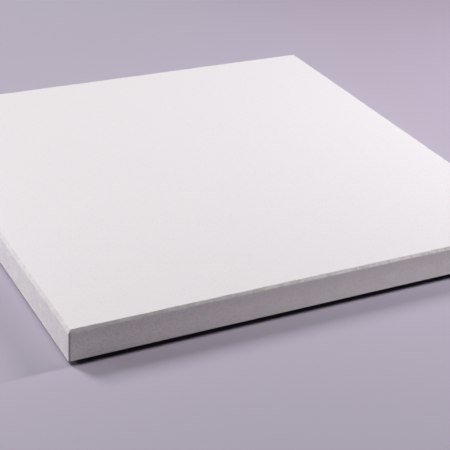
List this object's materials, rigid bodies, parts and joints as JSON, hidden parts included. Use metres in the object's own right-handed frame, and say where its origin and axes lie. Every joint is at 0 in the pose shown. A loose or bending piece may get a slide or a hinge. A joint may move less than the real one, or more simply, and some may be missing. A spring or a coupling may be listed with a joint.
{
  "type": "acoustic panel",
  "caption": "Square white sound-absorbing board with a bevelled painted face, upright edges and a stepped-in back that leaves a shadow gap.",
  "frame": {"origin": "centre of the back's resting face", "axes": "+Z from the back to the painted face, X along the board's length, Y along its width"},
  "size_m": [0.6, 0.6, 0.04],
  "materials": {
    "painted_board": "matte"
  },
  "bodies": {
    "root": {"acoustic_panel": "painted_board"}
  },
  "joints": []
}
